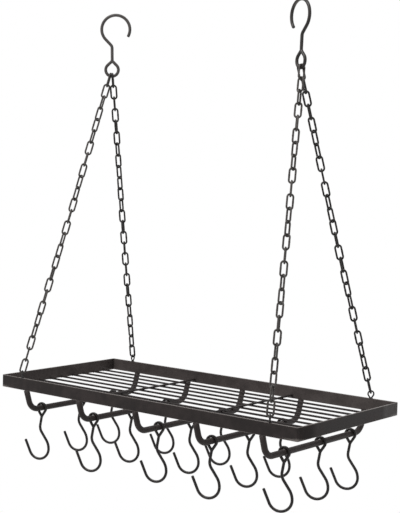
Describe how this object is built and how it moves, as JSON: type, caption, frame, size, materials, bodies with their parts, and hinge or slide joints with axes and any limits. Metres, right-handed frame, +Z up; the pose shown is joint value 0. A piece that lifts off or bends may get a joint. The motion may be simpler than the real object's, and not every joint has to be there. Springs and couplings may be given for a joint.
{
  "type": "hanging pot rack",
  "caption": "Ceiling-hung steel pot rack: a flat-bar shelf frame with a rod grid, round crossbars below carrying swinging pot hooks, hung by link chains from two ceiling hooks.",
  "frame": {"origin": "midway between the two points where the open ceiling hooks bear on what holds them", "axes": "+X along the shelf to its right-hand end, +Y to the back, +Z up"},
  "size_m": [0.762, 0.3595, 0.9548],
  "materials": {
    "frame_paint": "satin, faintly mottled",
    "wire_paint": "satin",
    "chain_paint": "satin"
  },
  "bodies": {
    "hangers": {"ceiling_hook_left": "wire_paint", "ceiling_hook_right": "wire_paint"},
    "rack": {"front_rail": "frame_paint", "back_rail": "frame_paint", "left_rail": "frame_paint", "right_rail": "frame_paint", "grid_rod_1": "frame_paint", "grid_rod_2": "frame_paint", "grid_rod_3": "frame_paint", "grid_rod_4": "frame_paint", "grid_rod_5": "frame_paint", "grid_rod_6": "frame_paint", "grid_rod_7": "frame_paint", "grid_rod_8": "frame_paint", "grid_rod_9": "frame_paint", "cross_rod_left": "frame_paint", "cross_rod_right": "frame_paint", "crossbar_1": "frame_paint", "crossbar_2": "frame_paint", "crossbar_3": "frame_paint", "crossbar_4": "frame_paint", "crossbar_5": "frame_paint", "chain_eye_front_left": "wire_paint", "chain_eye_back_left": "wire_paint", "chain_eye_front_right": "wire_paint", "chain_eye_back_right": "wire_paint", "chain_front_left": "chain_paint", "chain_back_left": "chain_paint", "chain_front_right": "chain_paint", "chain_back_right": "chain_paint"},
    "hook_1": {"pot_hook_1": "wire_paint"},
    "hook_2": {"pot_hook_2": "wire_paint"},
    "hook_3": {"pot_hook_3": "wire_paint"},
    "hook_4": {"pot_hook_4": "wire_paint"},
    "hook_5": {"pot_hook_5": "wire_paint"},
    "hook_6": {"pot_hook_6": "wire_paint"},
    "hook_7": {"pot_hook_7": "wire_paint"},
    "hook_8": {"pot_hook_8": "wire_paint"},
    "hook_9": {"pot_hook_9": "wire_paint"},
    "hook_10": {"pot_hook_10": "wire_paint"},
    "hook_11": {"pot_hook_11": "wire_paint"},
    "hook_12": {"pot_hook_12": "wire_paint"},
    "hook_13": {"pot_hook_13": "wire_paint"},
    "hook_14": {"pot_hook_14": "wire_paint"},
    "hook_15": {"pot_hook_15": "wire_paint"}
  },
  "joints": [
    {"name": "rack_swing", "type": "hinge", "parent": "hangers", "child": "rack", "pos_m": [0, 0, -0.1224], "axis": [1, 0, 0], "range_deg": [-8, 8]},
    {"name": "hook_1_swing", "type": "hinge", "parent": "rack", "child": "hook_1", "pos_m": [-0.3048, -0.12928, -0.83444], "axis": [0, 1, 0], "range_deg": [-40, 40]},
    {"name": "hook_2_swing", "type": "hinge", "parent": "rack", "child": "hook_2", "pos_m": [-0.3048, -0.01293, -0.83444], "axis": [0, 1, 0], "range_deg": [-40, 40]},
    {"name": "hook_3_swing", "type": "hinge", "parent": "rack", "child": "hook_3", "pos_m": [-0.3048, 0.09179, -0.83444], "axis": [0, 1, 0], "range_deg": [-40, 40]},
    {"name": "hook_4_swing", "type": "hinge", "parent": "rack", "child": "hook_4", "pos_m": [-0.1524, -0.12928, -0.83444], "axis": [0, 1, 0], "range_deg": [-40, 40]},
    {"name": "hook_5_swing", "type": "hinge", "parent": "rack", "child": "hook_5", "pos_m": [-0.1524, -0.01293, -0.83444], "axis": [0, 1, 0], "range_deg": [-40, 40]},
    {"name": "hook_6_swing", "type": "hinge", "parent": "rack", "child": "hook_6", "pos_m": [-0.1524, 0.10213, -0.83444], "axis": [0, 1, 0], "range_deg": [-40, 40]},
    {"name": "hook_7_swing", "type": "hinge", "parent": "rack", "child": "hook_7", "pos_m": [0, -0.10083, -0.83444], "axis": [0, 1, 0], "range_deg": [-40, 40]},
    {"name": "hook_8_swing", "type": "hinge", "parent": "rack", "child": "hook_8", "pos_m": [0, 0.00129, -0.83444], "axis": [0, 1, 0], "range_deg": [-40, 40]},
    {"name": "hook_9_swing", "type": "hinge", "parent": "rack", "child": "hook_9", "pos_m": [0, 0.10601, -0.83444], "axis": [0, 1, 0], "range_deg": [-40, 40]},
    {"name": "hook_10_swing", "type": "hinge", "parent": "rack", "child": "hook_10", "pos_m": [0.1524, -0.1241, -0.83444], "axis": [0, 1, 0], "range_deg": [-40, 40]},
    {"name": "hook_11_swing", "type": "hinge", "parent": "rack", "child": "hook_11", "pos_m": [0.1524, -0.00388, -0.83444], "axis": [0, 1, 0], "range_deg": [-40, 40]},
    {"name": "hook_12_swing", "type": "hinge", "parent": "rack", "child": "hook_12", "pos_m": [0.1524, 0.10859, -0.83444], "axis": [0, 1, 0], "range_deg": [-40, 40]},
    {"name": "hook_13_swing", "type": "hinge", "parent": "rack", "child": "hook_13", "pos_m": [0.3048, -0.10342, -0.83444], "axis": [0, 1, 0], "range_deg": [-40, 40]},
    {"name": "hook_14_swing", "type": "hinge", "parent": "rack", "child": "hook_14", "pos_m": [0.3048, 0.01681, -0.83444], "axis": [0, 1, 0], "range_deg": [-40, 40]},
    {"name": "hook_15_swing", "type": "hinge", "parent": "rack", "child": "hook_15", "pos_m": [0.3048, 0.1241, -0.83444], "axis": [0, 1, 0], "range_deg": [-40, 40]}
  ]
}
